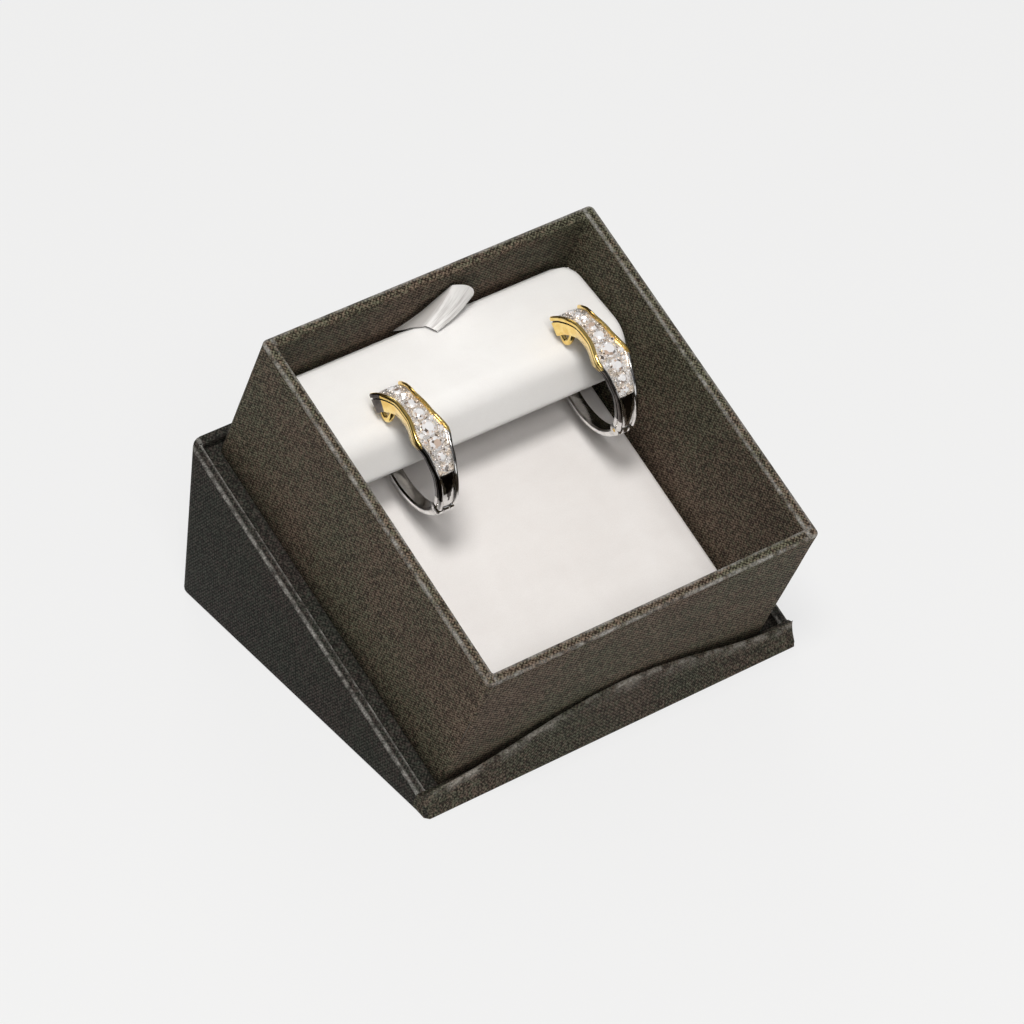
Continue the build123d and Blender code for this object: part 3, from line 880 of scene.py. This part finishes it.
def ribbon_point(u, v):
    """Point of the pull: u runs across both facets, v up from the flap."""
    left = Vector((-4.6, ROOM_Y - 0.4, FLAP_Z + 0.15))
    crease = Vector((-0.3, FLAP_BACK - 1.0, FLAP_Z + 0.6))
    tip = Vector((0.6, FLAP_BACK - 2.5, FLAP_Z + 0.75))
    peak = Vector((3.3, ROOM_Y - 0.4, FLAP_Z + 6.7))
    far_end = Vector((7.7, ROOM_Y - 0.8, FLAP_Z + 1.4))
    if u < 0.5:
        t = u / 0.5
        low = left.lerp(crease, t)
        high = peak + Vector((-0.7, 0, -0.6)) * (1 - t)
        bulge = Vector((0, 0.25, 0)) * sin(pi * t) * sin(pi * v)
    else:
        t = (u - 0.5) / 0.5
        low = crease.lerp(tip, t)
        high = peak.lerp(far_end, t) + Vector((0.75, 0, 0.75)) * sin(pi * t) ** 0.8
        bulge = Vector((0.1, -0.45, 0.40)) * sin(pi * t) ** 0.6
    point = low.lerp(high, v) + bulge
    ripple = noise.noise(Vector((u * 5, v * 1.6, 4.0))) * 0.12
    point.y = min(point.y + ripple - 0.3 * sin(pi * v), ROOM_Y - 0.12)
    return tuple(point)


def ribbon_piece():
    """Folded satin pull: a shaded facet, a crease and a bright leaning strip."""
    rows, columns = 24, 36
    spots = [(c / columns, r / rows) for r in range(rows + 1) for c in range(columns + 1)]
    mesh = bpy.data.meshes.new("ribbon_pull_satin")
    mesh.from_pydata([ribbon_point(u, v) for u, v in spots], [], grid_faces(columns, rows))
    mark_mesh(mesh, "across", [u for u, v in spots])
    mark_mesh(mesh, "along", [v for u, v in spots])
    mesh.transform(SLANT)
    ribbon = linked("ribbon_pull_satin", mesh)
    skin = ribbon.modifiers.new("thickness", "SOLIDIFY")
    skin.thickness = 0.12 * MM
    skin.offset = 0
    apply_all(ribbon)
    shade(ribbon, 60)
    finish_piece(ribbon, "insert", [SATIN], ["ribbon_pull"])


ribbon_piece()


# Earrings

def eased(stations, angle):
    """Value at an angle from a few stations, joined by soft steps."""
    for (a0, v0), (a1, v1) in zip(stations, stations[1:]):
        if angle <= a1:
            share = max(0.0, (angle - a0) / (a1 - a0))
            return v0 + (v1 - v0) * (share * 0.4 + 0.6 * (3 * share ** 2 - 2 * share ** 3))
    return stations[-1][1]


def half_width_at(angle):
    """Half width of the hoop's band: square top end, neck, waist and tip."""
    return eased(((28, 2.6), (42, 2.3), (64, 1.85), (84, 2.0), (106, 2.72), (124, 2.05),
                  (148, 1.62), (190, 1.4)), angle)


def inner_radius(angle):
    """Inner radius of the band, which is thickest at its top end."""
    return eased(((28, 6.45), (48, 6.65), (78, 6.95), (102, 7.2), (116, 7.75), (150, HOOP_IN)),
                 angle)


def ring_point(angle, radius, x):
    """Point of a hoop in the slanted frame, in millimetres."""
    a = radians(angle)
    lean = -ROLL * radius * sin(a)
    return (x + lean, HOOP_Y + radius * cos(a), HOOP_Z + radius * sin(a))


def swept(name, centre_x, start, stop, section, steps):
    """Closed band whose section is a function of the angle."""
    verts = []
    for i in range(steps + 1):
        angle = start + (stop - start) * i / steps
        verts += [ring_point(angle, radius, centre_x + x) for x, radius in section(angle)]
    return mesh_object(name, verts, tube_faces(steps + 1, len(section(start))))


# Angles in degrees: where the band starts, where its gold ends on each side,
# where it forks and where it stops short of the hinge
START = 28.0
TIPS = {-1: 114.0, 1: 111.0}
FORK = 150.0
BAND_STOP = HINGE_ANGLE - 5.5

RAIL_WIDTH = 0.60

# Rail outline from its side inwards: inset, radius, or None and height over the inner radius


RAIL_OUTLINE = ((0.15, None, 0.0), (0.02, None, 0.15), (0.02, 8.42, 0), (0.26, 8.48, 0),
                (0.26, 8.64, 0), (0.0, 8.70, 0), (0.0, 9.05, 0), (0.14, 9.24, 0),
                (0.31, HOOP_OUT, 0), (0.48, 9.24, 0), (0.60, 9.02, 0), (0.62, 8.3, 0))


def rail_section(angle):
    """U-shaped section: side walls with a groove under a rounded rail."""
    left = [(inset - half_width_at(angle), inner_radius(angle) + lift if radius is None else radius)
            for inset, radius, lift in RAIL_OUTLINE]
    return left + [(-x, radius) for x, radius in reversed(left)]


def setting_section(angle):
    """Section of the setting's floor between the rails."""
    half = half_width_at(angle) - RAIL_WIDTH
    low, high = inner_radius(angle) + 0.5, HOOP_OUT - 0.38
    crown = [(half * (i / 6 - 1), high + 0.10 * (1 - (i / 6 - 1) ** 2)) for i in range(13)]
    return [(-half, low)] + crown + [(half, low)]


def lever_section(angle):
    """Rounded section of the lever, narrower towards its free end."""
    share = min(1.0, max(0.0, (angle - HINGE_ANGLE) / 150))
    half = 1.1 - 0.15 * share
    low, high = HOOP_MID - 0.55, HOOP_MID + 0.55
    return [(-half + 0.25, low), (-half, low + 0.25), (-half, high - 0.3),
            (-half + 0.3, high), (half - 0.3, high), (half, high - 0.3),
            (half, low + 0.25), (half - 0.25, low)]


def brilliant(size, spin):
    """Points and faces of a brilliant-cut stone, table up, in millimetres."""
    half = size / 2
    verts, faces = [], []
    for count, shift, reach, height in (
            (8, 0.0, (0.56, 0.56), 0.33 * size / 1.9 + 0.07),
            (16, -0.5, (0.80, 0.82), 0.16 * size / 1.9 + 0.05),
            (16, 0.0, (1.0, 1.0), 0.02), (16, 0.0, (1.0, 1.0), -0.05),
            (8, 0.5, (0.5, 0.5), -0.28 * size / 1.9 - 0.05)):
        for i in range(count):
            a = 2 * pi * (i + shift) / count + spin
            wide = half * reach[i % 2]
            verts.append((wide * cos(a), wide * sin(a), height))
    verts.append((0, 0, -0.52 * size / 1.9))
    faces.append(tuple(range(8)))
    mid, girdle, under, low = 8, 24, 40, 56
    for i in range(8):
        j = (i + 1) % 8
        m0, m1, m2 = mid + (2 * i) % 16, mid + (2 * i + 1) % 16, mid + (2 * i + 2) % 16
        faces.append((i, m0, m1))
        faces.append((i, m1, m2, j))
    for i in range(16):
        j = (i + 1) % 16
        faces.append((mid + i, girdle + i, mid + j))
        faces.append((mid + j, girdle + i, girdle + j))
        faces.append((girdle + i, under + i, under + j, girdle + j))
    for i in range(8):
        j = (i + 1) % 8
        u0, u1, u2 = under + 2 * i, under + (2 * i + 1) % 16, under + (2 * i + 2) % 16
        faces.append((u0, low + i, u1))
        faces.append((u1, low + i, u2))
        faces.append((u2, low + i, low + j))
        faces.append((low + i, 64, low + j))
    return verts, faces


def place_on_ring(point, angle, radius, centre_x):
    """Turn a point beside the origin to its place on the ring."""
    x, y, z = point
    a = radians(angle)
    out = Vector((0, cos(a), sin(a)))
    along = Vector((0, -sin(a), cos(a)))
    centre = Vector((centre_x, HOOP_Y, HOOP_Z)) + out * radius
    place = centre + Vector((x, 0, 0)) + along * y + out * z
    place.x -= ROLL * (place.z - HOOP_Z)
    return tuple(place)


# Stones down the middle: angle and size. Beside them: angle, place across and size
STONES = ((38.5, 1.25), (49.5, 1.35), (60.5, 1.4), (72.0, 1.55), (84.5, 1.9), (99.0, 2.35),
          (114.0, 1.95), (126.5, 1.4), (137.0, 1.1))
FLANK_STONES = ((92.0, 1.18, 0.75), (103.5, 1.62, 0.95), (110.5, 1.45, 0.7))
FACET_SEED = {"left": 7, "right": 11}


def stones_piece(side, centre_x):
    """Row of cut stones."""
    verts, faces = [], []
    row = [(angle, 0.0, size) for angle, size in STONES]
    row += [(angle, turn * across, size) for angle, across, size in FLANK_STONES
            for turn in (-1, 1)]
    for index, (angle, across, size) in enumerate(row):
        points, sides = brilliant(size, 0.3 * index)
        base = len(verts)
        verts += [place_on_ring((x + across, y, z), angle, HOOP_OUT - 0.28, centre_x)
                  for x, y, z in points]
        faces += [tuple(base + v for v in face) for face in sides]
    stones = mesh_object(f"{side}_stones", verts, faces, smooth=False)
    chance = random.Random(FACET_SEED[side])
    # Random values that pick the facets with painted reflections
    mark_mesh(stones.data, "facet", [chance.random() * 0.95 for _ in stones.data.polygons],
              "FACE")
    finish_piece(stones, "insert", [STONE_PAINTED_REFLECTIONS], [f"earring_{side}_stones"])


def bead(verts, faces, centre, radius, angle, centre_x):
    """Add one small round grip bead, a dome of three rings."""
    base, steps = len(verts), 8
    x, y, z = centre
    dome = []
    for lift, wide in ((0.0, 1.0), (0.5, 0.86), (0.85, 0.5)):
        for i in range(steps):
            a = 2 * pi * i / steps
            dome.append((x + radius * wide * cos(a), y + radius * wide * sin(a),
                         z + radius * lift))
    dome.append((x, y, z + radius))
    verts += [place_on_ring(point, angle, HOOP_OUT - 0.34, centre_x) for point in dome]
    faces += tube_faces(3, steps, base, capped=False)
    last = base + 2 * steps
    faces += [(last + i, last + (i + 1) % steps, last + steps) for i in range(steps)]


def setting_piece(side, centre_x):
    """Setting floor with grip beads round every stone, its top end painted near-black as shade, and
    a bright fork with painted shade between its prongs.
    """
    band = swept(f"{side}_setting_floor", centre_x, START + 0.6, BAND_STOP - 2, setting_section, 60)
    verts, faces = [], []
    for angle, size in STONES:
        grips = [(dx * size * 0.36, dy * size * 0.40, 0.05) for dx in (-1, 1) for dy in (-1, 1)]
        for spot in grips:
            bead(verts, faces, spot, 0.17, angle, centre_x)
        room = half_width_at(angle) - 0.68 - size / 2
        if room > 0.2:
            grains = [(dx * (size / 2 + room * 0.5), dy * size, 0.02)
                      for dx in (-1, 1) for dy in (-0.5, 0.0, 0.5)]
            for spot in grains:
                bead(verts, faces, spot, 0.14, angle, centre_x)
    beads = mesh_object(f"{side}_grip_beads", verts, faces)
    finish_piece(beads, "insert", [PAVE])
    finish_piece(band, "insert", [PAVE, PAINTED_SHADE_METAL, WHITE_GOLD],
                 [f"earring_{side}_setting"])
    shade(band, 45)
    fork = FORK - 8
    for face in band.data.polygons:
        angle, across, _ = ring_place(face.center, centre_x)
        # Painted shade: the top end and the narrowing channel between the fork's prongs
        if angle < START + 7:
            face.material_index = 1
        elif angle > fork:
            prong = (half_width_at(angle) - RAIL_WIDTH) * max(0.0, (176 - angle) / (176 - fork))
            face.material_index = 2 if abs(across) > prong else 1


def ring_place(point, centre_x):
    """Angle, distance across and radius of a point on a hoop."""
    at = SLANT.inverted() @ point
    angle = degrees(atan2(at.z - HOOP_Z, at.y - HOOP_Y)) % 360
    across = at.x - centre_x + ROLL * (at.z - HOOP_Z)
    return angle, across, hypot(at.z - HOOP_Z, at.y - HOOP_Y)


def rails_piece(side, centre_x):
    """Gold rails to the waist's pointed tips, with white gold and near-black metal below; the
    near-black is painted shade and painted dark reflection.
    """
    rails = swept(f"{side}_rails", centre_x, START, BAND_STOP, rail_section, 110)
    shade(rails, 45)
    finish_piece(rails, "insert", [GOLD, WHITE_GOLD, PAINTED_SHADE_METAL],
                 [f"earring_{side}_rails"])
    for face in rails.data.polygons:
        angle, across, radius = ring_place(face.center, centre_x)
        inset = max(0.0, half_width_at(angle) - abs(across))
        tip = TIPS[1 if across > 0 else -1]
        # Painted near-black: the groove and the top end's outer side as painted shade, the rails'
        # sides below the tips as painted dark reflection
        groove = 0.1 < inset < 0.3 and 8.4 < radius < 8.72
        if angle < tip - inset * 9:
            dark = groove or (side == "left" and across < 0 and inset < 0.1 and angle < 43)
            face.material_index = 2 if dark else 0
        elif angle < 168 and (inset < 0.26 or radius < 8.6):
            face.material_index = 2
        else:
            face.material_index = 1


def knuckle(name, x_from, x_to, body):
    """White gold knuckle with chamfered ends about the hinge line."""
    radius, trim, count = 0.9, 0.12, 28
    a = radians(HINGE_ANGLE)
    cy, cz = HOOP_Y + HOOP_MID * cos(a), HOOP_Z + HOOP_MID * sin(a)
    rings = ((x_from, radius - trim), (x_from + 0.1, radius), (x_to - 0.1, radius),
             (x_to, radius - trim))
    turns = [2 * pi * i / count for i in range(count)]
    verts = [(x, cy + r * cos(t), cz + r * sin(t)) for x, r in rings for t in turns]
    piece = mesh_object(name, verts, tube_faces(len(rings), count))
    shade(piece, 40)
    finish_piece(piece, body, [WHITE_GOLD])


# Route of the curled post from the hoop's centre, in millimetres
POST_ROUTE = ((0, HOOP_MID, -4.6), (0, HOOP_MID, -2.0), (0, HOOP_MID, 0.1), (-0.2, 8.2, 1.2),
              (-0.8, 6.9, 1.65), (-1.3, 5.5, 1.9), (-1.45, 4.6, 2.2), (-1.3, 4.25, 3.1),
              (-0.9, 4.6, 4.3), (-0.5, 5.1, 5.3))


def post_piece(side, centre_x):
    """Gold post with a curled root under the band's top end."""
    data = bpy.data.curves.new(f"{side}_post", "CURVE")
    data.dimensions = "3D"
    data.bevel_depth = 0.42
    data.bevel_resolution = 5
    data.use_fill_caps = True
    line = data.splines.new("NURBS")
    line.points.add(len(POST_ROUTE) - 1)
    for knot, (x, y, z) in zip(line.points, POST_ROUTE):
        knot.co = (centre_x + x - ROLL * max(0, z), HOOP_Y + y, HOOP_Z + z, 1)
    line.order_u = 3
    line.use_endpoint_u = True
    line.resolution_u = 8
    select_only(linked(f"{side}_post", data))
    bpy.ops.object.convert(target="MESH")
    post = bpy.context.object
    post.data.transform(SLANT)
    fix_normals(post.data)
    shade(post, 50)
    finish_piece(post, "insert", [GOLD], [f"earring_{side}_post"])


def earring(side, centre_x):
    """All pieces of one hoop."""
    rails_piece(side, centre_x)
    setting_piece(side, centre_x)
    stones_piece(side, centre_x)
    body = f"earring_{side}_lever_body"
    lever = swept(f"{side}_lever", centre_x, HINGE_ANGLE + 5.2, 343.6, lever_section, 72)
    shade(lever, 45)
    finish_piece(lever, body, [WHITE_GOLD], [f"earring_{side}_lever"])
    knuckle(f"{side}_lever_knuckle", centre_x - 0.45, centre_x + 0.45, body)
    knuckle(f"{side}_near_knuckle", centre_x - 1.3, centre_x - 0.55, "insert")
    knuckle(f"{side}_far_knuckle", centre_x + 0.55, centre_x + 1.3, "insert")
    post_piece(side, centre_x)


for side_name, place_x in POSTS.items():
    earring(side_name, place_x)


# Nodes of the model that keep their own shape
for node_name, node in frame["nodes"].items():
    if node_name in ("insert_base_card", "insert_riser", "insert_flap_card"):
        paint(node, [CARD])
    elif node_name.startswith("tray_") and node_name.endswith("_board"):
        paint(node, [BOARD])
    elif node_name.endswith("_pin"):
        paint(node, [GOLD])


# Camera, light and floor

WORLD_LIGHT = 0.26
BACKDROP = (0.896, 0.896, 0.896, 1)


def camera():
    """Camera at the photograph's angle."""
    data = bpy.data.cameras.new("camera")
    data.lens = 180.75
    data.sensor_width = 36
    data.clip_start = 0.01
    data.clip_end = 20
    obj = linked("camera", data)
    obj.location = (-0.3173, -0.444141, 0.452878)
    obj.rotation_euler = (radians(51.65), 0, radians(-35.66))
    bpy.context.scene.camera = obj


def area_light(name, place, size, energy, colour):
    """Soft round light pointed at the box."""
    data = bpy.data.lights.new(name, "AREA")
    data.shape = "DISK"
    data.size = size
    data.energy = energy
    data.color = colour
    obj = linked(name, data)
    obj.location = place
    obj.rotation_euler = (Vector((0, 0, 0.02)) - Vector(place)).to_track_quat("-Z", "Y").to_euler()


def floor():
    """Plain pale floor."""
    bpy.ops.mesh.primitive_plane_add(size=6, location=(0, 0, -0.0001))
    plane = bpy.context.object
    plane.name = "floor"
    material, n = new_material("pale_floor")
    tree = material.node_tree
    coords = tree.nodes.new("ShaderNodeTexCoord")
    grain = n.noise(n.scaled(coords.outputs["Object"], (30, 30, 30)), 1.0, 2.0)
    n.surface({"Base Color": n.mix(grain, (0.80, 0.80, 0.80, 1), (0.82, 0.82, 0.82, 1)),
               "Roughness": 0.9,
               "Specular IOR Level": 0.1})
    glow = n.fill(tree.nodes.new("ShaderNodeEmission"), {"Color": BACKDROP})
    rays = tree.nodes.new("ShaderNodeLightPath").outputs
    seen = n.math("MAXIMUM", rays["Is Camera Ray"],
                  n.math("MAXIMUM", rays["Is Glossy Ray"], rays["Is Transmission Ray"]))
    both = n.fill(tree.nodes.new("ShaderNodeMixShader"),
                  {0: n.times(seen, 0.8), 1: tree.nodes["Principled BSDF"].outputs[0],
                   2: glow.outputs[0]})
    n.put(tree.nodes["Material Output"].inputs["Surface"], both.outputs[0])
    plane.data.materials.append(material)


def world():
    """Pale surroundings, darker towards the horizon."""
    scene = bpy.context.scene
    scene.world = bpy.data.worlds.new("studio")
    scene.world.use_nodes = True
    tree = scene.world.node_tree
    n = Nodes(tree)
    coords = tree.nodes.new("ShaderNodeTexCoord")
    height = n.split(coords.outputs["Generated"])[2]
    pale = n.mix(n.ramp(height, 0.0, 0.75), (0.16, 0.16, 0.165, 1), (1, 1, 1, 1))
    n.fill(tree.nodes["Background"], {"Color": pale, "Strength": WORLD_LIGHT})
    scene.view_settings.view_transform = "Standard"


camera()
floor()
world()
area_light("key", (-0.28, -0.34, 0.84), 0.24, 5.3, (1.0, 0.985, 0.96))
area_light("front", (-0.30, -0.66, 0.70), 0.34, 2.8, (1.0, 0.985, 0.97))
area_light("fill", (0.65, -0.70, 0.30), 0.45, 0.35, (1.0, 0.97, 0.93))
area_light("rear", (0.42, 0.88, 0.42), 0.50, 2.2, (1.0, 0.99, 0.97))
